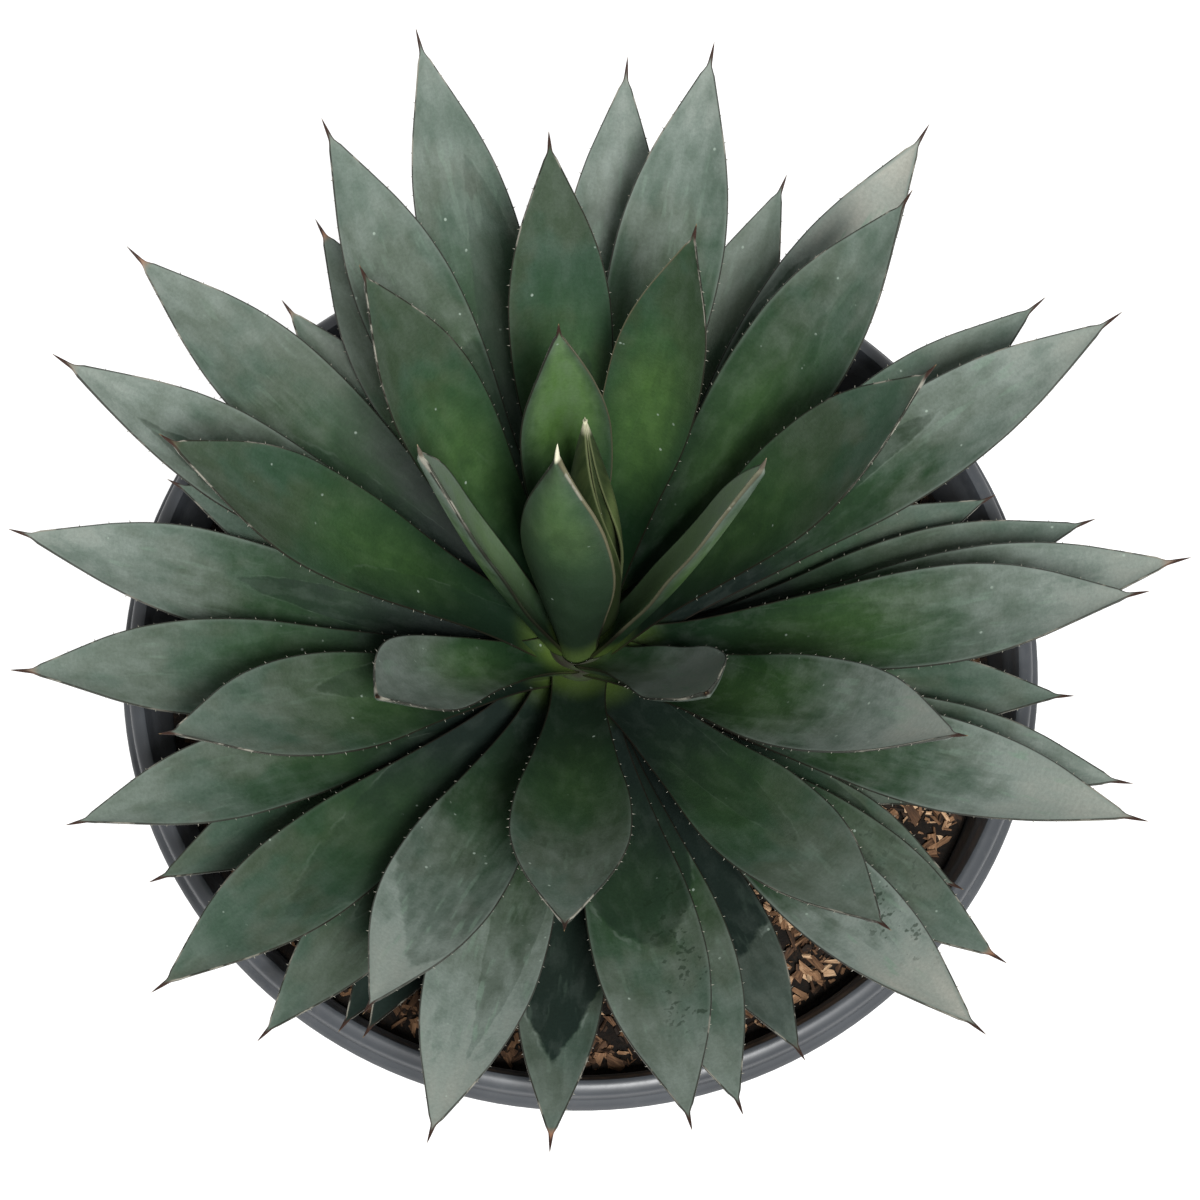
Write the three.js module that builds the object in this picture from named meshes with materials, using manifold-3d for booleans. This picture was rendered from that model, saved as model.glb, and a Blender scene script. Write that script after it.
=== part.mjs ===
// A potted blue glow agave: a rosette of stiff, toothed, spine-tipped leaves in a tight
// spiral on a short stem, rooted in bark soil in a round tapered nursery pot.
// Millimetres, +Z up, +Y to the back of the plant. The origin is the centre of the
// pot's underside.
import * as THREE from 'three';
import { mergeVertices } from 'three/addons/utils/BufferGeometryUtils.js';
import Module from 'manifold-3d';

const wasm = await Module();
wasm.setup();

const clearance = 0.35;

// Pot: a thin tapered wall under a skirted collar with a rolled lip. The floor stands on a
// middle pad and a foot ring, with the drain holes in the raised ring between them
const potHeight = 190;
const potRimRadius = 140;
const potBaseRadius = 104;
const potWallTopRadius = 131.5;
const potWall = 2;
const potFloor = 2.5;
const potFootRise = 4;
const potFootWidth = 8;
const potPadRadius = 44;
const potStep = 4;
const collarHeight = 11;
const collarWall = 2.2;
const collarSlope = 9;
const lipOuterRadius = 136.2;
const lipInnerRadius = 132.4;
const drainHoles = 6;
const drainHoleRadius = 6;
const drainRingRadius = 78;
const potSides = 48;

// Soil: bark mix filled to below the rim, with chips lying on it
const soilDrop = 24;
const soilTop = potHeight - soilDrop;
const soilBump = 2;
const soilSides = 32;
const chipCount = 30;

// Stem: short, domed, buried to stemRoot below the soil
const stemRoot = 30;
const heartHeight = potHeight + 17;
const stemRadius = 19;
const stemSides = 14;
const plantY = -3;

// Leaf form, common to all
const baseThickness = 4.8;
const tipThickness = 2;
const edgeThickness = 0.8;
const channelDepth = 0.13;
const leafCurl = 8;
const spineStart = 0.96;
const spineRadius = 1.1;
const toothLength = 1.1;
const toothRoot = 1.6;
const toothHalfHeight = 0.3;
const toothSunk = 1;
const teethPerSide = 3;

// Spindle of rolled leaves at the heart
const spindleLength = 156;
const spindleWidth = 16;
const spindleDepth = 12;
const spindleTurn = 20;
const spindleLean = -2;
const spindleX = 6.5;
const spindleY = 3;
const spindleSides = 10;
const spindleOutline = [[0, 0.5], [0.25, 0.85], [0.45, 1], [0.65, 0.85], [0.85, 0.42], [0.96, 0.12]];

// Half width of a leaf along its length, as shares of the length and of the greatest half width
const leafOutline = [
  [0, 0.5], [0.16, 0.48], [0.36, 0.7], [0.53, 0.94], [0.66, 0.98], [0.79, 0.72], [0.895, 0.3],
];

// The leaves, youngest first, as they stand round the stem. Azimuth in degrees from the
// back of the plant towards +X, rise in degrees above level at mid length, length with
// its spine and greatest width in millimetres. A lean turns a leaf in its own plane, in
// degrees towards its right margin, a sweep is how far that lean grows from foot to tip, and
// a curl is how far its rise grows.
const leafRows = [
  { azimuth: 200, rise: 87, length: 160, width: 28, lean: 1 },
  { azimuth: 348, rise: 81, length: 158, width: 26 },
  { azimuth: 101, rise: 75, length: 165, width: 24 },
  { azimuth: 263, rise: 77, length: 160, width: 23 },
  { azimuth: 27, rise: 70, length: 170, width: 28 },
  { azimuth: 145, rise: 61, length: 112, width: 26, curl: 25, sweep: 30 },
  { azimuth: 311, rise: 64, length: 163, width: 30 },
  { azimuth: 77, rise: 61, length: 178, width: 31 },
  { azimuth: 228, rise: 54, length: 114, width: 29, curl: 25, sweep: -28 },
  { azimuth: 354, rise: 57, length: 166, width: 30 },
  { azimuth: 126, rise: 50, length: 178, width: 32 },
  { azimuth: 275, rise: 52, length: 168, width: 32 },
  { azimuth: 46, rise: 49, length: 176, width: 33 },
  { azimuth: 181, rise: 47, length: 162, width: 34 },
  { azimuth: 326, rise: 46, length: 177, width: 31 },
  { azimuth: 97, rise: 36, length: 180, width: 31 },
  { azimuth: 240, rise: 42, length: 159, width: 33 },
  { azimuth: 14, rise: 40, length: 181, width: 33 },
  { azimuth: 144, rise: 39, length: 168, width: 33 },
  { azimuth: 287, rise: 38, length: 182, width: 29 },
  { azimuth: 67, rise: 36, length: 189, width: 30 },
  { azimuth: 202, rise: 35, length: 165, width: 33 },
  { azimuth: 342, rise: 34, length: 186, width: 31 },
  { azimuth: 117, rise: 30, length: 187, width: 29 },
  { azimuth: 255, rise: 33, length: 178, width: 31 },
  { azimuth: 37, rise: 32, length: 183, width: 32 },
  { azimuth: 169, rise: 31, length: 181, width: 32 },
  { azimuth: 305, rise: 30, length: 176, width: 32 },
  { azimuth: 90, rise: 30, length: 184, width: 31 },
  { azimuth: 221, rise: 30, length: 183, width: 31 },
  { azimuth: 4, rise: 29, length: 174, width: 31 },
  { azimuth: 141, rise: 29, length: 186, width: 29 },
  { azimuth: 273, rise: 28, length: 172, width: 30 },
  { azimuth: 57, rise: 28, length: 170, width: 30 },
  { azimuth: 193, rise: 27, length: 176, width: 32 },
  { azimuth: 325, rise: 27, length: 148, width: 29 },
  { azimuth: 111, rise: 26, length: 172, width: 28 },
  { azimuth: 242, rise: 26, length: 166, width: 28 },
  { azimuth: 24, rise: 26, length: 153, width: 28 },
  { azimuth: 163, rise: 25, length: 163, width: 29 },
  { azimuth: 287, rise: 25, length: 130, width: 24 },
  { azimuth: 80, rise: 24, length: 155, width: 26 },
  { azimuth: 213, rise: 24, length: 161, width: 27 },
  { azimuth: 132, rise: 24, length: 164, width: 28 },
  { azimuth: 182, rise: 23, length: 163, width: 26 },
  { azimuth: 317, rise: 23, length: 136, width: 25 },
  { azimuth: 100, rise: 23, length: 146, width: 25 },
  { azimuth: 235, rise: 22, length: 147, width: 26 },
  { azimuth: 154, rise: 22, length: 147, width: 25 },
  { azimuth: 71, rise: 21, length: 129, width: 23 },
  { azimuth: 126, rise: 21, length: 135, width: 23 },
  { azimuth: 208, rise: 20, length: 138, width: 23 },
  { azimuth: 117, rise: 19, length: 109, width: 21 },
  { azimuth: 206, rise: 16, length: 131, width: 22 },
];

const materials = {
  pot: new THREE.MeshStandardMaterial({ color: 0x3b4046, roughness: 0.45, metalness: 0 }),
  soil: new THREE.MeshStandardMaterial({ color: 0x3a2a20, roughness: 0.95, metalness: 0 }),
  stem: new THREE.MeshStandardMaterial({ color: 0x5c6b4a, roughness: 0.8, metalness: 0 }),
  leaf: new THREE.MeshStandardMaterial({ color: 0x4b6154, roughness: 0.6, metalness: 0 }),
  youngLeaf: new THREE.MeshStandardMaterial({ color: 0x5d8a52, roughness: 0.6, metalness: 0 }),
};

const agave = new THREE.Group();

function toSolid(geometry) {
  const bare = geometry.clone();
  bare.deleteAttribute('normal');
  bare.deleteAttribute('uv');
  const merged = mergeVertices(bare, 1e-4);
  return new wasm.Manifold(new wasm.Mesh({
    numProp: 3,
    vertProperties: new Float32Array(merged.attributes.position.array),
    triVerts: new Uint32Array(merged.index.array),
  }));
}

function addSolid(name, solid, material) {
  const { vertProperties, triVerts } = solid.getMesh();
  const geometry = new THREE.BufferGeometry();
  geometry.setAttribute('position', new THREE.BufferAttribute(vertProperties, 3));
  geometry.setIndex(new THREE.BufferAttribute(triVerts, 1));
  const mesh = new THREE.Mesh(geometry, material);
  mesh.name = name;
  agave.add(mesh);
}

// A lathed body round the Z axis from (radius, height) points that start and end on the axis
function turned(profile, sides) {
  const points = profile.map(([radius, height]) => new THREE.Vector2(radius, height));
  return new THREE.LatheGeometry(points, sides).rotateX(Math.PI / 2);
}

// A seeded random number in 0 to 1
function randomFrom(seed) {
  let state = seed;
  return () => {
    state = (state * 1664525 + 1013904223) % 4294967296;
    return state / 4294967296;
  };
}

// Radius of the pot's outside wall under the collar
function wallRadius(height) {
  const share = height / (potHeight - collarSlope);
  return THREE.MathUtils.lerp(potBaseRadius, potWallTopRadius, share);
}

function makePot() {
  const collarFoot = potHeight - collarHeight;
  const innerFloor = potFootRise + potFloor;
  const collarMiddle = potHeight - collarSlope;
  const profile = [
    [0, 0], [potPadRadius, 0], [potPadRadius + potStep, potFootRise],
    [potBaseRadius - potFootWidth - potStep, potFootRise], [potBaseRadius - potFootWidth, 0], [potBaseRadius, 0],
    [potWallTopRadius, collarMiddle + 3], [potRimRadius - collarWall, collarMiddle + 2],
    [potRimRadius - collarWall, collarFoot], [potRimRadius - 0.5, collarFoot],
    [potRimRadius, collarMiddle], [potRimRadius - 1.2, collarMiddle + 2.6],
    [lipOuterRadius + 0.3, potHeight - 1.6], [lipOuterRadius - 0.6, potHeight],
    [lipInnerRadius + 1, potHeight], [lipInnerRadius, potHeight - 1.4],
    [potWallTopRadius - potWall, collarMiddle], [wallRadius(innerFloor) - potWall, innerFloor],
    [0, innerFloor],
  ];
  let pot = toSolid(turned(profile, potSides));
  for (let i = 0; i < drainHoles; i += 1) {
    const angle = (i + 0.5) / drainHoles * 2 * Math.PI;
    const hole = new THREE.CylinderGeometry(drainHoleRadius, drainHoleRadius, 20, 8).rotateX(Math.PI / 2);
    hole.translate(drainRingRadius * Math.cos(angle), drainRingRadius * Math.sin(angle), innerFloor);
    pot = pot.subtract(toSolid(hole));
  }
  return pot;
}

// Radius of the stem at a height: a column with a domed top
function stemRadiusAt(height) {
  const share = THREE.MathUtils.clamp((height - soilTop) / (heartHeight - soilTop), 0, 1);
  return stemRadius * Math.sqrt(Math.max(0, 1 - share ** 2.4));
}

function makeStem(grow) {
  const profile = [[0, soilTop - stemRoot - grow], [stemRadius + grow, soilTop - stemRoot - grow]];
  const rings = 8;
  for (let i = 0; i < rings; i += 1) {
    const height = THREE.MathUtils.lerp(soilTop, heartHeight, i / rings);
    profile.push([stemRadiusAt(height) + grow, height]);
  }
  profile.push([0, heartHeight + grow]);
  return toSolid(turned(profile, stemSides).translate(0, plantY, 0));
}

function soilHeight(x, y) {
  const wave = Math.sin(x * 0.11 + 1.3) * Math.cos(y * 0.13) + 0.6 * Math.sin(x * 0.31 + y * 0.23);
  return soilBump * wave;
}

function makeSoil() {
  const floor = potFootRise + potFloor + clearance;
  const edgeRadius = wallRadius(soilTop) - potWall - clearance;
  const profile = [[0, floor], [wallRadius(floor) - potWall - clearance, floor], [edgeRadius, soilTop]];
  for (const share of [0.86, 0.7, 0.54, 0.38, 0.24]) profile.push([edgeRadius * share, soilTop]);
  profile.push([0, soilTop]);
  const body = turned(profile, soilSides);
  const places = body.attributes.position;
  for (let i = 0; i < places.count; i += 1) {
    const radius = Math.hypot(places.getX(i), places.getY(i));
    const onTop = places.getZ(i) > soilTop - 1 && radius < edgeRadius * 0.9 && radius > stemRadius + 8;
    if (onTop) places.setZ(i, soilTop + soilHeight(places.getX(i), places.getY(i)));
  }
  let soil = toSolid(body);
  const random = randomFrom(7);
  for (let i = 0; i < chipCount; i += 1) {
    const angle = random() * 2 * Math.PI;
    const radius = THREE.MathUtils.lerp(stemRadius + 16, edgeRadius - 8, Math.sqrt(random()));
    const chip = new THREE.BoxGeometry(7 + 9 * random(), 4 + 3 * random(), 5);
    chip.rotateX((random() - 0.5) * 0.5).rotateY((random() - 0.5) * 0.5).rotateZ(random() * Math.PI);
    const x = radius * Math.cos(angle);
    const y = radius * Math.sin(angle);
    chip.translate(x, y, soilTop + soilHeight(x, y) - 0.6);
    soil = soil.add(toSolid(chip));
  }
  return soil.subtract(makeStem(clearance));
}

// The leaf's place round the stem: the older it is, the lower and the further out it starts
function leafBase(age) {
  const height = THREE.MathUtils.lerp(potHeight + 16, potHeight - 19, age ** 0.9);
  return { height, radius: 0.55 * stemRadiusAt(Math.min(height, heartHeight - 2)) };
}

// Direction along the leaf at a share of its length, and its side and upper-face normals
function leafFrame(row, share) {
  const azimuth = THREE.MathUtils.degToRad(row.azimuth);
  const rise = THREE.MathUtils.degToRad(row.rise + (row.curl ?? leafCurl) * (share - 0.5));
  const along = new THREE.Vector3(
    Math.sin(azimuth) * Math.cos(rise), Math.cos(azimuth) * Math.cos(rise), Math.sin(rise));
  const side = new THREE.Vector3(Math.cos(azimuth), -Math.sin(azimuth), 0);
  const normal = side.clone().cross(along);
  const lean = THREE.MathUtils.degToRad((row.lean ?? 0) + (row.sweep ?? 0) * (share - 0.5));
  return { along: along.applyAxisAngle(normal, -lean), side: side.applyAxisAngle(normal, -lean), normal };
}

// Point on the leaf's midrib at a share of its length
function midribPoint(row, share) {
  const azimuth = THREE.MathUtils.degToRad(row.azimuth);
  const start = leafBase(row.age);
  const point = new THREE.Vector3(
    start.radius * Math.sin(azimuth), plantY + start.radius * Math.cos(azimuth), start.height);
  const steps = 12;
  for (let i = 0; i < steps; i += 1) {
    const { along } = leafFrame(row, share * (i + 0.5) / steps);
    point.addScaledVector(along, row.length * share / steps);
  }
  return point;
}

// Section across a leaf as [sideways, upwards] points, round from the left upper margin
function leafSection(halfWidth, thickness, channel, grow) {
  const half = halfWidth + grow;
  const edge = Math.min(edgeThickness, thickness * 0.6);
  const top = channel + grow;
  const under = channel - edge - grow;
  return [
    [-half, top], [0, grow], [half, top], [half, under],
    [half * 0.42, -thickness - grow], [-half * 0.42, -thickness - grow], [-half, under],
  ];
}

function leafBlade(row, grow) {
  const rings = leafOutline.map(([place, factor]) => {
    const share = place === 0 ? -grow / row.length : place;
    const halfWidth = row.width / 2 * factor;
    const thickness = THREE.MathUtils.lerp(baseThickness, tipThickness, place);
    return { share, section: leafSection(halfWidth, thickness, halfWidth * 2 * channelDepth, grow) };
  });
  rings.push({ share: spineStart, section: leafSection(spineRadius, spineRadius * 1.6, 0.2, grow) });
  const vertices = [];
  for (const { share, section } of rings) {
    const centre = midribPoint(row, share);
    const { side, normal } = leafFrame(row, share);
    for (const [x, y] of section) {
      vertices.push(...centre.clone().addScaledVector(side, x).addScaledVector(normal, y));
    }
  }
  const corners = rings[0].section.length;
  const tip = midribPoint(row, 1 + grow * 3 / row.length);
  vertices.push(...tip);
  const tipIndex = rings.length * corners;
  const triangles = [];
  for (let i = 0; i < corners; i += 1) {
    const next = (i + 1) % corners;
    for (let ring = 0; ring < rings.length - 1; ring += 1) {
      const low = ring * corners;
      const high = low + corners;
      // the two halves of the blade are split alike
      if (i < 2 || i === 3) triangles.push(low + i, low + next, high + i, low + next, high + next, high + i);
      else triangles.push(low + i, low + next, high + next, low + i, high + next, high + i);
    }
    const last = (rings.length - 1) * corners;
    triangles.push(last + i, last + next, tipIndex);
  }
  // the foot's face fans out from the bottom of the channel
  for (let i = 2; i < corners; i += 1) triangles.push(1, (i + 1) % corners, i);
  const geometry = new THREE.BufferGeometry();
  geometry.setAttribute('position', new THREE.Float32BufferAttribute(vertices, 3));
  geometry.setIndex(triangles);
  return toSolid(geometry);
}

// Share of the greatest half width at a share of the leaf's length
function outlineAt(share) {
  const next = leafOutline.findIndex(([place]) => place >= share);
  const [a, b] = [leafOutline[next - 1], leafOutline[next]];
  return THREE.MathUtils.lerp(a[1], b[1], (share - a[0]) / (b[0] - a[0]));
}

// Small three-sided teeth along both margins, their roots sunk in the blade
function leafTeeth(row, grow) {
  const teeth = [];
  for (let i = 0; i < teethPerSide; i += 1) {
    const share = THREE.MathUtils.lerp(0.4, 0.86, (i + 0.5) / teethPerSide);
    const halfWidth = row.width / 2 * outlineAt(share);
    const centre = midribPoint(row, share);
    const { along, side, normal } = leafFrame(row, share);
    for (const way of [-1, 1]) {
      const tooth = new THREE.ConeGeometry(1, toothLength + toothSunk + 2 * grow, 3);
      tooth.scale(toothRoot / 2 + grow, 1, toothHalfHeight + grow);
      tooth.translate(0, (toothLength - toothSunk) / 2, 0);
      const out = side.clone().multiplyScalar(way);
      tooth.applyMatrix4(new THREE.Matrix4().makeBasis(along, out, along.clone().cross(out)));
      const place = centre.clone().addScaledVector(out, halfWidth)
        .addScaledVector(normal, halfWidth * 2 * channelDepth - edgeThickness / 2);
      tooth.translate(place.x, place.y, place.z);
      teeth.push(toSolid(tooth));
    }
  }
  return teeth;
}

function makeLeaf(row, grow) {
  let leaf = leafBlade(row, grow);
  for (const tooth of leafTeeth(row, grow)) leaf = leaf.add(tooth);
  return leaf;
}

function boxesMeet(a, b) {
  const [boxA, boxB] = [a.boundingBox(), b.boundingBox()];
  return [0, 1, 2].every((axis) => boxA.min[axis] < boxB.max[axis] && boxB.min[axis] < boxA.max[axis]);
}

// The biggest body of a solid: loose scraps left by a cut are dropped
function biggestBody(solid) {
  const bodies = solid.decompose();
  return bodies.reduce((best, body) => (body.volume() > best.volume() ? body : best));
}

// Each leaf is pressed into shape at its foot by the stem and the younger leaves above it
function addLeaves() {
  const pressing = [makeStem(clearance), makeSpindle(clearance)];
  leafRows.forEach((row, index) => {
    row.age = (index + 1) / leafRows.length;
    let leaf = makeLeaf(row, 0);
    for (const neighbour of pressing) {
      if (boxesMeet(leaf, neighbour)) leaf = leaf.subtract(neighbour);
    }
    const name = `leaf_${String(index + 1).padStart(2, '0')}`;
    addSolid(name, biggestBody(leaf), index < 5 ? materials.youngLeaf : materials.leaf);
    pressing.push(makeLeaf(row, clearance));
  });
}

// The heart: leaves still rolled round each other in a pointed spindle
function makeSpindle(grow) {
  const rings = spindleOutline.map(([share, factor]) => {
    const points = [];
    for (let i = 0; i < spindleSides; i += 1) {
      const angle = i / spindleSides * 2 * Math.PI;
      points.push([
        (spindleWidth / 2 * factor + grow) * Math.cos(angle),
        (spindleDepth / 2 * factor + grow) * Math.sin(angle),
        share === 0 ? -grow : spindleLength * share,
      ]);
    }
    return points;
  });
  const vertices = rings.flat(2);
  vertices.push(0, 0, spindleLength + 2 * grow);
  const tipIndex = rings.length * spindleSides;
  const triangles = [];
  for (let i = 0; i < spindleSides; i += 1) {
    const next = (i + 1) % spindleSides;
    for (let ring = 0; ring < rings.length - 1; ring += 1) {
      const low = ring * spindleSides;
      const high = low + spindleSides;
      triangles.push(low + i, low + next, high + i, low + next, high + next, high + i);
    }
    const last = (rings.length - 1) * spindleSides;
    triangles.push(last + i, last + next, tipIndex);
  }
  for (let i = 1; i < spindleSides - 1; i += 1) triangles.push(0, i + 1, i);
  const geometry = new THREE.BufferGeometry();
  geometry.setAttribute('position', new THREE.Float32BufferAttribute(vertices, 3));
  geometry.setIndex(triangles);
  geometry.rotateZ(THREE.MathUtils.degToRad(-spindleTurn));
  geometry.rotateY(THREE.MathUtils.degToRad(spindleLean));
  geometry.translate(spindleX, plantY + spindleY, heartHeight - 4);
  return toSolid(geometry);
}

addSolid('pot', makePot(), materials.pot);
addSolid('soil', makeSoil(), materials.soil);
addSolid('stem', makeStem(0), materials.stem);
addSolid('spindle', makeSpindle(0).subtract(makeStem(clearance)), materials.youngLeaf);
addLeaves();

export default agave;
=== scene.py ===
# Looks of a potted blue glow agave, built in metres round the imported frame
import math
import random

import bmesh
import bpy
from mathutils import Matrix, Vector, noise


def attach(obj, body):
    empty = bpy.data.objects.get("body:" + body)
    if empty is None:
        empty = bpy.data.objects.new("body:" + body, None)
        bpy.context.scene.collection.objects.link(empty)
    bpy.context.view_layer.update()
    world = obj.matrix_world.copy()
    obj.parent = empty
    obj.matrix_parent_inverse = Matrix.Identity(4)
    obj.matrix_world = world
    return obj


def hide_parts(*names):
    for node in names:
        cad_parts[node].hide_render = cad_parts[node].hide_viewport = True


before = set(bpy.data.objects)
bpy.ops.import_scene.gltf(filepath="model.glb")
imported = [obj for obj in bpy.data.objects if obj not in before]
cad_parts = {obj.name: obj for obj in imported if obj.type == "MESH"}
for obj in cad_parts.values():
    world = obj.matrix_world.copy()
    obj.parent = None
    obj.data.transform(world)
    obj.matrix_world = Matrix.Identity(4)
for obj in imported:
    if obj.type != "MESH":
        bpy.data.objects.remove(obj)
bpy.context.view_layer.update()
print("frame loaded:", len(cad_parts), "nodes")

mm = 0.001
fullTurn = 2 * math.pi

# Camera first: the photo looks down on the plant from the front
camera = {
    "target": (5.6, 15, 190),  # mm
    "distance": 916,
    "elevation": 69.2,  # degrees above level
    "roll": 0.9,
    "lens": 90,
}


def makeCamera():
    elevation = math.radians(camera["elevation"])
    roll = math.radians(camera["roll"])
    back = Vector((0, -math.cos(elevation), math.sin(elevation)))
    level = Vector((1, 0, 0))
    right = level * math.cos(roll) + back.cross(level) * math.sin(roll)
    data = bpy.data.cameras.new("photoCamera")
    data.lens = camera["lens"]
    data.clip_start = 0.01
    body = bpy.data.objects.new("photoCamera", data)
    place = Matrix((right, back.cross(right), back)).transposed().to_4x4()
    place.translation = (Vector(camera["target"]) + back * camera["distance"]) * mm
    body.matrix_world = place
    bpy.context.scene.collection.objects.link(body)
    bpy.context.scene.camera = body


makeCamera()


# Shader maths: a wire is a node's output, and Python's operators add Math nodes to it
class Wire:
    def __init__(self, finish, socket):
        self.finish = finish
        self.socket = socket

    def math(self, operation, *values):
        return self.finish.add("ShaderNodeMath", {"operation": operation}, dict(enumerate(values)))

    def __add__(self, other):
        return self.math("ADD", self, other)

    def __radd__(self, other):
        return self.math("ADD", other, self)

    def __sub__(self, other):
        return self.math("SUBTRACT", self, other)

    def __rsub__(self, other):
        return self.math("SUBTRACT", other, self)

    def __mul__(self, other):
        return self.math("MULTIPLY", self, other)

    def __rmul__(self, other):
        return self.math("MULTIPLY", other, self)

    def __pow__(self, other):
        return self.math("POWER", self, other)

    def __abs__(self):
        return self.math("ABSOLUTE", self)

    def rise(self, low, high):  # 0 below low and 1 above high, smooth between
        return self.finish.add(
            "ShaderNodeMapRange", {"interpolation_type": "SMOOTHSTEP"},
            {"Value": self, "From Min": low, "From Max": high})

    def fall(self, low, high):  # 1 below low and 0 above high
        return 1 - self.rise(low, high)


# A material with its nodes
class Finish:
    def __init__(self, name, fixed):
        self.material = bpy.data.materials.new(name)
        self.material.use_nodes = True
        self.tree = self.material.node_tree
        self.shader = self.tree.nodes["Principled BSDF"]
        for socket, value in fixed.items():
            self.shader.inputs[socket].default_value = value

    def plug(self, socket, value):
        if isinstance(value, Wire):
            self.tree.links.new(value.socket, socket)
        else:
            socket.default_value = value

    def add(self, kind, settings, values, output=0):
        node = self.tree.nodes.new(kind)
        for name, value in settings.items():
            if name == "stops":
                self.setStops(node.color_ramp, value)
            else:
                setattr(node, name, value)
        for socket, value in values.items():
            self.plug(node.inputs[socket], value)
        return Wire(self, node.outputs[output])

    def setStops(self, colorRamp, stops):
        while len(colorRamp.elements) < len(stops):
            colorRamp.elements.new(0.5)
        for element, (place, colour) in zip(colorRamp.elements, stops):
            element.position = place
            element.color = (*colour, 1)

    def number(self, name):
        return self.add("ShaderNodeAttribute", {"attribute_name": name}, {}, "Fac")

    def vector(self, name):
        return self.add("ShaderNodeAttribute", {"attribute_name": name}, {}, "Vector")

    def place(self):
        return self.add("ShaderNodeTexCoord", {}, {}, "Object")

    def axis(self, vector, name):
        return self.add("ShaderNodeSeparateXYZ", {}, {0: vector}, name)

    def stretch(self, vector, scale):
        return self.add("ShaderNodeVectorMath", {"operation": "MULTIPLY"}, {0: vector, 1: scale})

    def noise(self, vector, scale, detail=3, roughness=0.5):
        values = {"Vector": vector, "Scale": scale, "Detail": detail, "Roughness": roughness}
        return self.add("ShaderNodeTexNoise", {}, values)

    def cells(self, vector, scale):
        return self.add("ShaderNodeTexVoronoi", {}, {"Vector": vector, "Scale": scale}, "Distance")

    def shades(self, factor, stops):
        return self.add("ShaderNodeValToRGB", {"stops": stops}, {0: factor})

    def mix(self, factor, a, b, blend="MIX"):
        colours = [value if isinstance(value, Wire) else (*value, 1) for value in (a, b)]
        settings = {"data_type": "RGBA", "blend_type": blend}
        return self.add("ShaderNodeMix", settings, {0: factor, 6: colours[0], 7: colours[1]}, 2)

    def bump(self, relief, strength, distance):
        values = {"Height": relief, "Strength": strength, "Distance": distance}
        self.plug(self.shader.inputs["Normal"], self.add("ShaderNodeBump", {}, values))

    def wear(self, colour, roughness):
        self.plug(self.shader.inputs["Base Color"], colour)
        self.plug(self.shader.inputs["Roughness"], roughness)


# A bmesh becomes a finished piece that rides on the root and stands for a node of the frame
def makePiece(bm, name, finish, node, crease=None):
    mesh = bpy.data.meshes.new(name)
    for face in bm.faces:
        face.smooth = True
    bm.to_mesh(mesh)
    bm.free()
    if crease is not None:
        mesh.set_sharp_from_angle(angle=math.radians(crease))
    mesh.materials.append(finish.material)
    piece = bpy.data.objects.new(name, mesh)
    bpy.context.scene.collection.objects.link(piece)
    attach(piece, "root")
    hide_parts(node)
    return piece


def mixed(a, b, share):
    return a + (b - a) * share


def smoothStep(low, high, value):
    share = min(max((value - low) / (high - low), 0), 1)
    return share * share * (3 - 2 * share)


# Smooth curve through (place, value) points, each slope taken from the points beside it
def curveThrough(points, place):
    last = len(points) - 1
    place = min(max(place, points[0][0]), points[last][0])
    i = next(index for index in range(last) if place <= points[index + 1][0])
    (startPlace, start), (endPlace, end) = points[i], points[i + 1]
    span = endPlace - startPlace
    share = (place - startPlace) / span
    slopes = []
    for index in (i, i + 1):
        before, after = points[max(index - 1, 0)], points[min(index + 1, last)]
        slopes.append((after[1] - before[1]) / (after[0] - before[0]) * span)
    bend = share * share * (3 - 2 * share)
    push = slopes[0] * share * (1 - share) ** 2 + slopes[1] * share * share * (share - 1)
    return mixed(start, end, bend) + push


# A profile of (radius, level) points turned into a closed body
def spun(profile, steps, centreY=0):
    bm = bmesh.new()
    chain = [bm.verts.new((radius * mm, 0, level * mm)) for radius, level in profile]
    edges = [bm.edges.new(pair) for pair in zip(chain, chain[1:])]
    bmesh.ops.spin(
        bm, geom=chain + edges, cent=(0, 0, 0), axis=(0, 0, 1), angle=fullTurn, steps=steps, use_merge=True)
    bmesh.ops.remove_doubles(bm, verts=bm.verts, dist=0.00001)
    bmesh.ops.translate(bm, verts=bm.verts, vec=(0, centreY * mm, 0))
    bmesh.ops.recalc_face_normals(bm, faces=bm.faces)
    return bm


# Sizes that the pot, the soil and the plant share, in mm
height = {"pot": 190, "floor": 6.5, "soil": 166, "heart": 207, "stemRoot": 136}
plantY = -3
clearance = 0.35

# Pot
pot = {
    "rings": [  # radius, level and rounding in mm, from under the middle out, up and down inside
        (0, 0, 0), (44, 0, 0.8), (48, 4, 0.8), (92, 4, 0.8), (96, 0, 0.8), (104, 0, 1.6),
        (131.5, 184, 0.5), (137.8, 183, 0.5), (137.8, 179, 0.4), (139.7, 179, 0.5), (140, 181.5, 0.9),
        (139.3, 184.2, 0.9), (137.7, 185.1, 0.3), (137.5, 187.1, 0.5), (137.2, 188.3, 0.5),
        (136.5, 188.95, 0), (135.6, 189.5, 0), (134.7, 189.85, 0), (133.8, 190, 0), (133, 189.75, 0),
        (132.3, 188.4, 0.6), (129.5, 181, 2), (102.98, 6.5, 3), (0, 6.5, 0),
    ],
    "steps": 160,
    "drainHoles": 6,
    "drainRadius": 6,
    "drainRing": 78,
    "crease": 40,  # degrees
    "lipTop": (0.1845, 0.1865),  # metres: above it the lip is worn glossier
    "black": (0.022, 0.025, 0.029),
    "grey": (0.050, 0.056, 0.064),
    "dust": (0.130, 0.125, 0.115),
}


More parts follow.
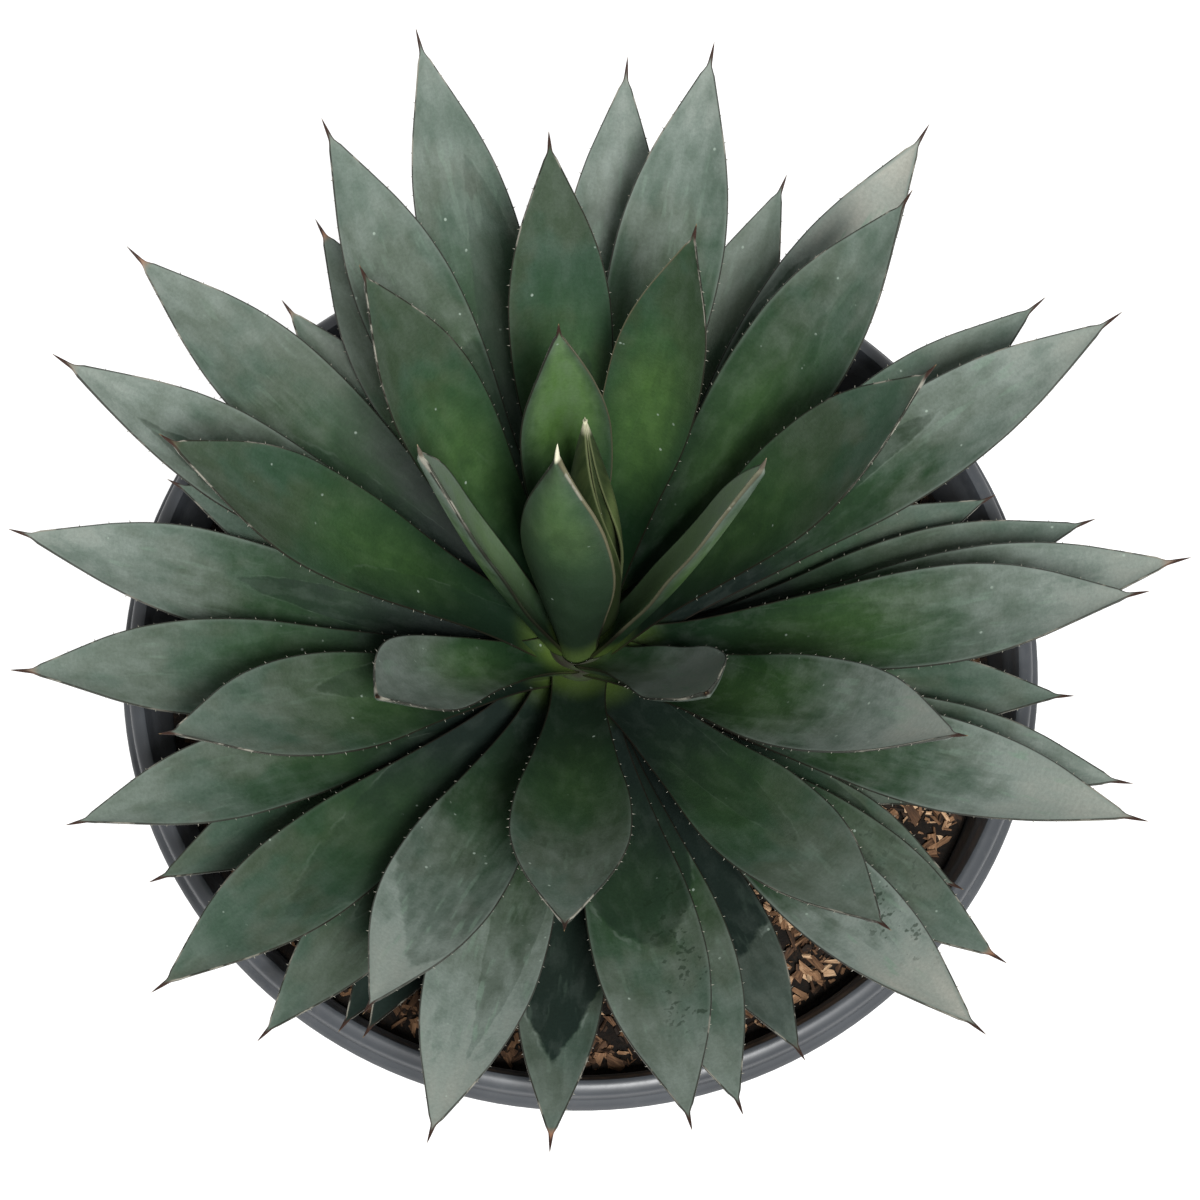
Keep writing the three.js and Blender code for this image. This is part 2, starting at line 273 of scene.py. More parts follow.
def makePotFinish():
    finish = Finish("mouldedPlastic", {"IOR": 1.5, "Specular IOR Level": 0.62})
    place = finish.place()
    cloud = finish.noise(place, 18, 3, 0.6)
    speck = finish.noise(place, 420, 3, 0.7)
    rings = finish.noise(finish.stretch(place, (6, 6, 260)), 3, 2, 0.5)
    up = finish.axis(place, "Z")
    colour = finish.mix(0.2 + 0.55 * cloud.rise(0.3, 0.7), pot["black"], pot["grey"])
    film = (cloud * 0.5 + speck * 0.5).rise(0.5, 0.75) * 0.2
    splash = up.fall(0, 0.02) * speck.rise(0.4, 0.6) * 0.35
    colour = finish.mix(film + splash, colour, pot["dust"])
    finish.wear(colour, 0.34 + 0.3 * up.fall(*pot["lipTop"]) + 0.1 * cloud + 0.1 * speck)
    finish.bump(speck * 0.5 + rings * 0.6, 0.2, 0.0002)
    return finish


def liesOnRing(vert, radius, level):
    return abs(vert.co.xy.length - radius * mm) < 0.02 * mm and abs(vert.co.z - level * mm) < 0.02 * mm


def makePot():
    bm = spun([ring[:2] for ring in pot["rings"]], pot["steps"])
    for radius, level, rounding in pot["rings"]:
        if rounding:
            ring = [
                edge for edge in bm.edges if all(liesOnRing(vert, radius, level) for vert in edge.verts)]
            bmesh.ops.bevel(
                bm, geom=ring, offset=rounding * mm, segments=4, profile=0.5, affect="EDGES", material=-1)
    bmesh.ops.recalc_face_normals(bm, faces=bm.faces)
    piece = makePiece(bm, "nurseryPot", makePotFinish(), "pot", crease=pot["crease"])
    cutDrainHoles(piece)


# The drain holes are cut through the raised floor with a Boolean, and the result is kept as the mesh
def cutDrainHoles(piece):
    bm = bmesh.new()
    radius = pot["drainRadius"] * mm
    for i in range(pot["drainHoles"]):
        angle = (i + 0.5) / pot["drainHoles"] * fullTurn
        place = Vector((math.cos(angle), math.sin(angle), 0)) * pot["drainRing"] * mm
        bmesh.ops.create_cone(
            bm, cap_ends=True, segments=32, radius1=radius, radius2=radius, depth=30 * mm,
            matrix=Matrix.Translation(place))
    mesh = bpy.data.meshes.new("drainCutter")
    bm.to_mesh(mesh)
    bm.free()
    cutter = bpy.data.objects.new("drainCutter", mesh)
    bpy.context.scene.collection.objects.link(cutter)
    cut = piece.modifiers.new("drain", "BOOLEAN")
    cut.object = cutter
    cut.operation = "DIFFERENCE"
    cut.solver = "EXACT"
    graph = bpy.context.evaluated_depsgraph_get()
    drained = bpy.data.meshes.new_from_object(piece.evaluated_get(graph))
    piece.modifiers.clear()
    piece.data = drained
    drained.set_sharp_from_angle(angle=math.radians(pot["crease"]))
    bpy.data.objects.remove(cutter)


makePot()
print("pot turned")

# Soil and bark
soil = {
    "topRadius": 126.8,  # mm, as the other sizes here
    "floorRadius": 102.7,
    "holeRadius": 19.4,
    "rings": 44,
    "steps": 150,
    "bump": 1.6,
    "crease": 60,  # degrees
    "barkCrease": 20,
    "batches": 90,  # each of them shreds and then crumbs
    "shredsEach": 78,
    "crumbsEach": 40,
    "shredLength": (2.6, 6.8),
    "crumbLength": (1.0, 2.6),
    "shredWidth": (0.35, 0.8),  # against its length
    "shredDepth": (0.3, 0.6),  # against its width
    "strewn": (24, 124),  # nearest and furthest from the middle
    "bedding": (-0.3, 2.2),  # above the earth
    "tumble": (0.4, 0.7),  # radians, end over end and round its length
    "tone": (-0.1, 0.38),
    "litSideTone": (0.32, 0.78),  # most that is added to it, on the side in painted shade and on the side in painted light
    "crumbTone": 0.75,  # against the shreds
    "litSide": 0.43,  # radians from the right towards the front
    "earth": (0.006, 0.005, 0.004),
    "darkBark": (0.013, 0.008, 0.005),
    "bark": (0.080, 0.041, 0.021),
    "lightBark": (0.230, 0.125, 0.064),
    "paleBark": (0.560, 0.380, 0.230),
}


def soilHeight(x, y):
    broad = noise.noise(Vector((x * 0.035, y * 0.035, 3)))
    small = noise.noise(Vector((x * 0.16, y * 0.16, 9)))
    return height["soil"] + soil["bump"] * (broad * 1.2 + small * 0.7)


def makeSoilFinish():
    finish = Finish("pottingMix", {"Specular IOR Level": 0.25})
    place = finish.place()
    grit = finish.noise(place, 700, 4, 0.7)
    cloud = finish.noise(place, 60, 3, 0.6)
    colour = finish.mix(grit.rise(0.35, 0.75), soil["earth"], soil["darkBark"])
    colour = finish.mix(cloud.rise(0.5, 0.8) * grit.rise(0.5, 0.7) * 0.5, colour, soil["bark"])
    finish.wear(colour, 0.95)
    finish.bump(grit + cloud, 0.9, 0.0012)
    return finish


def makeSoil():
    hole, top, rings = soil["holeRadius"], soil["topRadius"], soil["rings"]
    profile = [(0, height["stemRoot"]), (hole, height["stemRoot"])]
    profile += [(mixed(hole, top, i / rings), height["soil"]) for i in range(rings + 1)]
    profile += [(soil["floorRadius"], height["floor"] + clearance), (0, height["floor"] + clearance)]
    bm = spun(profile, soil["steps"])
    for vert in bm.verts:
        radius = vert.co.xy.length / mm
        if vert.co.z > (height["soil"] - 1) * mm:
            edge = smoothStep(hole, hole + 8, radius) * smoothStep(top, top - 6, radius)
            vert.co.z = mixed(height["soil"], soilHeight(vert.co.x / mm, vert.co.y / mm), edge) * mm
    makePiece(bm, "earth", makeSoilFinish(), "soil", crease=soil["crease"])


def makeBarkFinish():
    finish = Finish("shreddedBark", {"Specular IOR Level": 0.3})
    fibres = finish.noise(finish.stretch(finish.vector("grain"), (0.2, 1.4, 1.4)), 1.0, 4, 0.65)
    tone = finish.number("tone")
    colour = finish.shades(tone + (fibres - 0.5) * 0.9, [
        (0.10, soil["darkBark"]), (0.40, soil["bark"]), (0.68, soil["lightBark"]), (0.95, soil["paleBark"]),
    ])
    finish.wear(colour, 0.85)
    finish.bump(fibres, 0.7, 0.0004)
    return finish


# One splinter: a short prism with uneven corners, kept in the bark's own grain coordinates
def addShred(bm, layers, draw, matrix, size, tone):
    length, width, depth = size
    made = bmesh.ops.create_cone(
        bm, cap_ends=True, segments=draw.choice((4, 5)), radius1=1, radius2=0.8, depth=2)
    offset = draw.random() * 50
    for vert in made["verts"]:
        place = Vector((
            (vert.co.z * draw.uniform(0.7, 1) + draw.uniform(-0.4, 0.4) * vert.co.x) * length / 2,
            (vert.co.x * draw.uniform(0.45, 1.2) + vert.co.z * draw.uniform(-0.2, 0.2)) * width / 2,
            vert.co.y * depth / 2 * draw.uniform(0.5, 1.2),
        ))
        vert[layers["grain"]] = place + Vector((offset, 0, offset))
        vert[layers["tone"]] = tone
        vert.co = matrix @ (place * mm)


# The bark is painted lighter on the right, where light falls, and darker on the left, in painted shade
def strewBark(draw, count, lengths, brightness):
    bm = bmesh.new()
    layers = {
        "grain": bm.verts.layers.float_vector.new("grain"),
        "tone": bm.verts.layers.float.new("tone"),
    }
    for i in range(count):
        angle = draw.random() * fullTurn
        radius = math.sqrt(draw.uniform(*(reach**2 for reach in soil["strewn"])))
        x, y = radius * math.cos(angle), radius * math.sin(angle)
        # Painted light and shade: shreds towards the lit side get brighter tones, those on the far side
        # darker ones
        brightSide = smoothStep(0.3, 0.75, math.cos(angle + soil["litSide"]))
        size = draw.uniform(*lengths)
        width = size * draw.uniform(*soil["shredWidth"])
        level = soilHeight(x, y) + draw.uniform(*soil["bedding"])
        turn = Matrix.Rotation(draw.random() * fullTurn, 4, "Z")
        pitch = Matrix.Rotation(draw.gauss(0, soil["tumble"][0]), 4, "Y")
        roll = Matrix.Rotation(draw.gauss(0, soil["tumble"][1]), 4, "X")
        matrix = Matrix.Translation(Vector((x, y, level)) * mm) @ turn @ (pitch @ roll)
        tone = draw.uniform(*soil["tone"]) + mixed(*soil["litSideTone"], brightSide) * draw.random() ** 0.8
        depth = width * draw.uniform(*soil["shredDepth"])
        addShred(bm, layers, draw, matrix, (size, width, depth), brightness * tone)
    bmesh.ops.recalc_face_normals(bm, faces=bm.faces)
    mesh = bpy.data.meshes.new("barkBatch")
    bm.to_mesh(mesh)
    bm.free()
    return mesh


# Made in small batches, because each operator call slows down as its mesh grows
def makeBark():
    whole = bmesh.new()
    draw = random.Random(11)
    for i in range(soil["batches"]):
        for count, lengths, brightness in (
            (soil["shredsEach"], soil["shredLength"], 1),
            (soil["crumbsEach"], soil["crumbLength"], soil["crumbTone"]),
        ):
            batch = strewBark(draw, count, lengths, brightness)
            whole.from_mesh(batch)
            bpy.data.meshes.remove(batch)
    makePiece(whole, "barkShreds", makeBarkFinish(), "soil", crease=soil["barkCrease"])


makeSoil()
makeBark()
print("soil filled and bark strewn")

# Stem: hidden among the feet of the leaves, ringed by their scars
stem = {
    "radius": 19,  # mm
    "rings": 90,
    "steps": 64,
    "roundness": 2.4,  # of the domed top
    "scarSpacing": 3.2,
    "scarDepth": 0.5,
    "green": (0.020, 0.034, 0.010),
    "scar": (0.014, 0.012, 0.007),
}


def stemRadiusAt(level):
    share = min(max((level - height["soil"]) / (height["heart"] - height["soil"]), 0), 1)
    return stem["radius"] * math.sqrt(max(0, 1 - share ** stem["roundness"]))


def makeStem():
    finish = Finish("stemSkin", {"Specular IOR Level": 0.3})
    place = finish.place()
    scars = finish.noise(finish.stretch(place, (60, 60, 300)), 1, 3, 0.6)
    finish.wear(finish.mix(scars.rise(0.4, 0.65), stem["green"], stem["scar"]), 0.75)
    finish.bump(scars, 0.5, 0.0006)
    profile = [(0, height["stemRoot"])]
    for i in range(stem["rings"] + 1):
        level = mixed(height["stemRoot"], height["heart"], i / stem["rings"])
        scar = stem["scarDepth"] * (0.5 + 0.5 * math.cos(level / stem["scarSpacing"] * fullTurn))
        profile.append((max(stemRadiusAt(level) - scar, 0), level))
    makePiece(spun(profile, stem["steps"], plantY), "leafyStem", finish, "stem")


makeStem()
print("stem raised")

# Leaves
leafForm = {
    "baseThickness": 4.8,  # mm
    "tipThickness": 1.8,
    "edge": 0.7,
    "channel": (0.17, 0.11),  # depth as a share of the width, at the foot and at the tip
    "curl": 8,  # degrees from foot to tip
    "footLevels": (16, -19),  # above the pot's rim, for the youngest leaf and the oldest
    "footReach": 0.55,  # share of the stem's radius
    "wave": (0.15, 0.4),  # height of the margin's waves
    "waves": (12, 26),  # radians of them from foot to tip
    "spineStart": 0.966,
    "spineBlend": 0.022,  # share of the length in which the blade rolls up into it
    "spineRadius": 0.62,
    "spineDrop": 0.4,
    "outline": [
        (0, 0.5), (0.16, 0.49), (0.36, 0.71), (0.53, 0.94), (0.66, 0.97), (0.75, 0.85), (0.82, 0.65),
        (0.875, 0.43), (0.91, 0.28), (0.94, 0.15), (0.955, 0.092), (0.966, 0.060), (1, 0),
    ],
    "rows": 90,
    "columns": 40,
    "teethStart": (0.28, 0.32),
    "teethEnd": 0.92,
    "teethGap": (4, 9),
    "toothSize": (0.3, 0.6),
}

# Youngest first: azimuth and rise in degrees, length and width in mm, then how green it is (which also sets
# its painted glow) and how pale it is
leafRows = [
    (200, 87, 160, 28, 0.80, 0.10), (348, 81, 158, 26, 1.90, 0.20), (101, 75, 165, 24, 2.60, 0.45),
    (263, 77, 160, 23, 2.60, 0.50), (27, 70, 170, 28, 0.68, 0.04), (145, 61, 112, 26, 0.60, 0.95),
    (311, 64, 163, 30, 0.42, 0.12), (77, 61, 178, 31, 0.25, 0.18), (228, 54, 114, 29, 0.55, 0.72),
    (354, 57, 166, 30, 0.34, 0.14), (126, 50, 178, 32, 0.40, 1.40), (275, 52, 168, 32, 0.30, 0.12),
    (46, 49, 176, 33, 0.32, 0.60), (181, 47, 162, 34, 0.25, 0.42), (326, 46, 177, 31, 0.15, 0.68),
    (97, 36, 180, 31, 0.40, 1.10), (240, 42, 159, 33, 0.20, 0.45), (14, 40, 181, 33, 0.10, 0.85),
    (144, 39, 168, 33, 0.15, 0.45), (287, 38, 182, 29, 0.05, 0.88), (67, 36, 189, 30, 0.05, 1.15),
    (202, 35, 165, 33, 0.20, 1.00), (342, 34, 186, 31, 0.05, 0.62), (117, 30, 187, 29, 0.10, 1.50),
    (255, 33, 178, 31, 0.15, 0.60), (37, 32, 183, 32, 0.05, 2.20), (169, 31, 181, 32, 0.12, 0.60),
    (305, 30, 176, 32, 0.05, 0.65), (90, 30, 184, 31, 0.05, 1.20), (221, 30, 183, 31, 0.10, 0.28),
    (4, 29, 174, 31, 0.05, 0.80), (141, 29, 186, 29, 0.10, 1.95), (273, 28, 172, 30, 0.05, 1.00),
    (57, 28, 170, 30, 0.05, 0.55), (193, 27, 176, 32, 0.20, 1.10), (325, 27, 148, 29, 0.05, 0.50),
    (111, 26, 172, 28, 0.05, 0.80), (242, 26, 166, 28, 0.10, 0.60), (24, 26, 153, 28, 0.05, 0.45),
    (163, 25, 163, 29, 0.15, 0.60), (287, 25, 130, 24, 0.05, 0.40), (80, 24, 155, 26, 0.05, 0.60),
    (213, 24, 161, 27, 0.10, 0.35), (132, 24, 164, 28, 0.05, 0.50), (182, 23, 163, 26, 0.15, 0.38),
    (317, 23, 136, 25, 0.05, 0.40), (100, 23, 146, 25, 0.05, 0.45), (235, 22, 147, 26, 0.10, 0.25),
    (154, 22, 147, 25, 0.05, 0.30), (71, 21, 129, 23, 0.05, 0.35), (126, 21, 135, 23, 0.05, 0.35),
    (208, 20, 138, 23, 0.10, 0.05), (117, 19, 109, 21, 0.05, 0.30), (206, 16, 131, 22, 0.10, 0.05),
]
leafQuirks = {  # rise, lean, sweep, roll and curl in degrees, what a leaf's skin has of its own, and painted light and shade
    1: {"lean": 1, "rise": 88.2, "cream": -0.4, "paleSpine": 1, "pinch": 0.67, "toothless": 1, "print": 0,
        "glowAt": 0.74, "ripen": 0.05},
    2: {"cream": 0.25, "toothless": 1, "print": 0, "glowAt": 0.78},
    3: {"roll": -14, "cream": 0.25, "paleSpine": 0.12, "toothless": 1, "ripen": 0.2, "print": 0, "tan": 0,
        "glowAt": 0.62, "light": 0.95},
    4: {"roll": 14, "cream": 0.1, "paleSpine": 0.12, "toothless": 1, "ripen": 0.2, "print": 0, "tan": 0,
        "glowAt": 0.62, "light": 0.55},
    5: {"cream": -0.3, "print": 0.1, "glowAt": 0.56},
    6: {"curl": 25, "sweep": 30, "pinch": 0.85, "ripen": 0.4, "print": 0},
    7: {"glowAt": 0.5},
    8: {"print": 0, "ripen": -0.06},
    9: {"curl": 25, "sweep": -28, "ripen": 0.2, "print": 0},
    12: {"ripen": -0.04},
    13: {"ripen": -0.08},
    14: {"printTop": 0.72, "printSide": 0, "printBend": 0.08, "print": 0.25},
    22: {"ripen": 0.12},
    23: {"printTop": 0.8, "printSide": 0.4, "printBend": 0.5, "print": 0.4},
    27: {"pits": 0.8, "printTop": 0.62, "printSide": -0.2, "printBend": 0.1, "print": 0.7},
    28: {"tan": 0.8},
    32: {"pits": 0.9, "print": 0.2},
    35: {"ripen": 0.12},
    36: {"tan": 1},
    40: {"printTop": 0.66, "printSide": 0.4, "printBend": 0.15, "print": 0.9},
    44: {"pits": 0.4, "tan": 0.9},
    # Painted shade: on leaves 45 and 49 the dark print and the shade number stand for the shade of the
    # leaves above them, over their bud prints
    45: {"printTop": 0.81, "printSide": 0.1, "printBend": 0.16, "print": 1.3, "tan": 1, "shade": 0.35},
    49: {"printTop": 0.72, "printSide": 0, "printBend": 0.05, "print": 1.3, "shade": 0.75},
    # Painted shade: leaves 52 and 54, low under the rosette, are held dark all over by a negative ripening
    # shift and their shade number
    52: {"ripen": -0.9, "shade": 0.8},
    54: {"ripen": -0.9, "shade": 0.8},
}


def leafDirections(leaf, share):
    azimuth = math.radians(leaf["azimuth"])
    rise = math.radians(leaf["rise"] + leaf["curl"] * (share - 0.5))
    along = Vector((math.sin(azimuth) * math.cos(rise), math.cos(azimuth) * math.cos(rise), math.sin(rise)))
    side = Vector((math.cos(azimuth), -math.sin(azimuth), 0))
    normal = side.cross(along)
    lean = Matrix.Rotation(-math.radians(leaf["lean"] + leaf["sweep"] * (share - 0.5)), 3, normal)
    roll = Matrix.Rotation(math.radians(leaf["roll"] * smoothStep(0.1, 0.6, share)), 3, lean @ along)
    return lean @ along, roll @ lean @ side, roll @ normal


# The leaf's stations from foot to tip, closer together at the tip: place on the midrib and directions
def leafStations(leaf):
    azimuth = math.radians(leaf["azimuth"])
    level = height["pot"] + mixed(*leafForm["footLevels"], leaf["age"] ** 0.9)
    radius = leafForm["footReach"] * stemRadiusAt(min(level, height["heart"] - 2))
    centre = Vector((radius * math.sin(azimuth), plantY + radius * math.cos(azimuth), level))
    stations = []
    before = 0
    for row in range(leafForm["rows"] + 1):
        step = row / leafForm["rows"]
        share = mixed(step, 1 - (1 - step) ** 2, 0.5)
        centre = centre + leafDirections(leaf, (before + share) / 2)[0] * leaf["length"] * (share - before)
        along, side, normal = leafDirections(leaf, share)
        half = leaf["width"] / 2 * curveThrough(leafForm["outline"], share ** leaf["pinch"])
        stations.append({
            "share": share, "centre": centre, "along": along, "side": side, "normal": normal, "half": half,
        })
        before = share
    return stations


# Point of the section at an angle round it from the middle of the underside: sideways and upwards
def sectionPoint(leaf, station, angle):
    share, half = station["share"], station["half"]
    out = math.sin(angle)
    reach = abs(out)
    thickness = mixed(leafForm["baseThickness"], leafForm["tipThickness"], share)
    depth = 2 * half * mixed(*leafForm["channel"], smoothStep(0, 0.7, share))
    edge = min(leafForm["edge"], thickness * 0.6, half)
    if math.cos(angle) < -0.0001:
        up = depth * reach**1.8
    else:
        up = depth - edge - (thickness + depth - edge) * (1 - reach**2.2)
    if reach > 0.9999:
        up = depth - edge / 2
    wave = leaf["wave"] * reach**4 * math.sin(leaf["waves"] * share + leaf["phase"] + out)
    start = leafForm["spineStart"]
    spine = smoothStep(start - leafForm["spineBlend"], start, share)
    taper = min(1, (1 - share) / (1 - start)) ** 0.8
    radius = leafForm["spineRadius"] * taper
    x = mixed(half * out, radius * out, spine)
    y = mixed(up + wave * (1 - spine), -radius * math.cos(angle) - leafForm["spineDrop"] * taper, spine)
    return x, y


# Small sharp teeth along both margins, with uneven gaps
def addTeeth(bm, layers, leaf, stations, draw):
    for way in (-1, 1):
        share = draw.uniform(*leafForm["teethStart"])
        while share < leafForm["teethEnd"]:
            station = min(stations, key=lambda item: abs(item["share"] - share))
            size = draw.uniform(*leafForm["toothSize"])
            x, y = sectionPoint(leaf, station, fullTurn / 4 * way)
            out = station["side"] * way
            lean = (out + station["along"] * draw.uniform(-0.1, 0.7)).normalized()
            matrix = Matrix((station["along"] * size * 0.5, station["normal"] * size * 0.35, lean * size))
            matrix = matrix.transposed().to_4x4() * mm
            root = station["centre"] + out * (abs(x) + 0.2 * size) + station["normal"] * y
            matrix.translation = root * mm
            matrix[3][3] = 1
            made = bmesh.ops.create_cone(
                bm, cap_ends=True, segments=4, radius1=1, radius2=0.1, depth=2, matrix=matrix)
            for vert in made["verts"]:
                outward = (vert.co - matrix.translation).dot(lean) / (size * mm)
                vert[layers["along"]] = share
                vert[layers["across"]] = way
                vert[layers["tooth"]] = mixed(0.35, 1, 0.5 + 0.5 * outward)
            share += draw.uniform(*leafForm["teethGap"]) / leaf["length"]


# What each corner of the mesh tells the leaf's skin
def markSkin(vert, layers, leaf, station, angle):
    out = math.sin(angle)
    vert[layers["along"]] = station["share"]
    vert[layers["across"]] = out
    vert[layers["upper"]] = 1 if math.cos(angle) < 0.0001 else 0
    vert[layers["inward"]] = station["half"] * (1 - abs(out))
    wrap = (1 if math.cos(angle) < 0 else -1) * station["half"] * out
    vert[layers["grain"]] = Vector((wrap, station["share"] * leaf["length"], leaf["seed"])) / 10


def makeLeaf(number, row, finish):
    draw = random.Random(number)
    leaf = dict(zip(("azimuth", "rise", "length", "width", "green", "bloom"), row))
    leaf.update({
        "age": number / len(leafRows), "curl": leafForm["curl"], "lean": 0, "sweep": 0, "roll": 0,
        "cream": 0, "paleSpine": 0, "pits": 0, "ripen": 0, "pinch": 1, "toothless": 0, "seed": number * 70,
        "glowAt": 0.46, "shade": 0, "light": 0,
        "wave": draw.uniform(*leafForm["wave"]), "waves": draw.uniform(*leafForm["waves"]),
        "phase": draw.uniform(0, 6),
        "printTop": draw.uniform(0.5, 0.86), "printSide": draw.uniform(-0.7, 0.7),
        "printBend": draw.uniform(0.05, 0.8), "print": draw.uniform(0.1, 0.7),
        "tan": 0.6 * draw.random() ** 6,
    })
    leaf.update(leafQuirks.get(number, {}))
    stations = leafStations(leaf)
    bm = bmesh.new()
    told = (
        "green", "glowAt", "light", "bloom", "ripen", "shade", "cream", "paleSpine", "pits", "tan",
        "printTop", "printSide", "printBend", "print",
    )
    marks = ("along", "across", "upper", "inward", "tooth", *told)
    layers = {name: bm.verts.layers.float.new(name) for name in marks}
    layers["grain"] = bm.verts.layers.float_vector.new("grain")
    bmesh.ops.create_grid(bm, x_segments=leafForm["columns"], y_segments=leafForm["rows"], size=1)
    for vert in bm.verts:
        angle = (vert.co.x + 1) * math.pi
        station = stations[round((vert.co.y + 1) / 2 * leafForm["rows"])]
        x, y = sectionPoint(leaf, station, angle)
        markSkin(vert, layers, leaf, station, angle)
        vert.co = (station["centre"] + station["side"] * x + station["normal"] * y) * mm
    bmesh.ops.remove_doubles(bm, verts=bm.verts, dist=0.00001)
    bmesh.ops.holes_fill(bm, edges=[edge for edge in bm.edges if edge.is_boundary])
    if not leaf["toothless"]:
        addTeeth(bm, layers, leaf, stations, draw)
    for vert in bm.verts:
        for name in told:
            vert[layers[name]] = leaf[name]
    bmesh.ops.recalc_face_normals(bm, faces=bm.faces)
    makePiece(bm, f"blade_{number:02d}", finish, f"leaf_{number:02d}")


leafSkin = {
    "foot": (0.070, 0.115, 0.022),
    "deep": (0.005, 0.018, 0.006),
    "slate": (0.010, 0.017, 0.014),
    "body": (0.018, 0.043, 0.018),
    "glow": (0.062, 0.132, 0.030),
    "light": (0.185, 0.290, 0.140),
    "teal": (0.024, 0.054, 0.033),
    "olive": (0.034, 0.050, 0.028),
    "bloom": (0.168, 0.202, 0.178),
    "frost": (0.265, 0.270, 0.235),
    "stroke": (0.150, 0.215, 0.165),
    "under": (0.060, 0.084, 0.060),
    "margin": (0.012, 0.009, 0.006),
    "cream": (0.270, 0.250, 0.150),
    "tooth": (0.300, 0.290, 0.240),
    "tan": (0.300, 0.150, 0.090),
    "spine": (0.035, 0.018, 0.013),
    "spineTip": (0.350, 0.240, 0.110),
    "paleSpine": (0.620, 0.600, 0.450),
    "speck": (0.330, 0.400, 0.340),
    "pit": (0.008, 0.018, 0.008),
    "footAt": (0.03, 0.13),  # places along the leaf, from 0 at the foot to 1 at the tip
    "bodyAt": (0.20, 0.60),
    "hueAt": (0.42, 0.75),
    "paintedLightAt": (0.1, 0.5),
    "ripeAt": (0.46, 1.04),
    "dryAt": (0.74, 0.94),
    "clearAt": (0.75, 0.9),  # strokes and pits end here
    "pitsAt": (0.35, 0.55),
    "haloAt": (0.35, 0.7),
    "creamAt": (0.14, 0.25),
    "wornAt": (0.70, 0.85),
    "tanAt": (0.945, 0.968),
    "spineAt": (0.962, 0.979),
    "spineTipAt": (0.990, 1.0),
    "paleSpineAt": (0.945, 0.960),
    "glowReach": (0.02, 0.30),  # either side of the leaf's own glowAt
    "cloudShift": 0.25,  # how far the clouds and the patches move the ripe part along the leaf
    "patchShift": 0.35,
    "printShift": 0.10,
    "printSoft": 0.010,
    "haloWidth": (0.4, 1.6),  # mm in from the margin
    "marginWidth": (0.22, 0.58),
    "creamWidth": (0.15, 0.55),
    "wornWidth": (0.2, 0.6),
    "bloomed": (0.02, 1.16),  # bloom at the foot, and what ripeness adds to it
    "roughness": 0.42,
    "coverDark": 0.7,  # strengths of the layers
    "coverBare": 0.75,
    "dryFrost": 0.16,
    "strokes": 0.7,
    "printEdge": 0.3,
    "grainy": 0.5,
    "specks": 0.65,
    "pitting": 0.75,
    "halo": 0.4,
    "worn": 0.7,
    "spineTipPale": 0.4,
    "bump": 0.35,
}


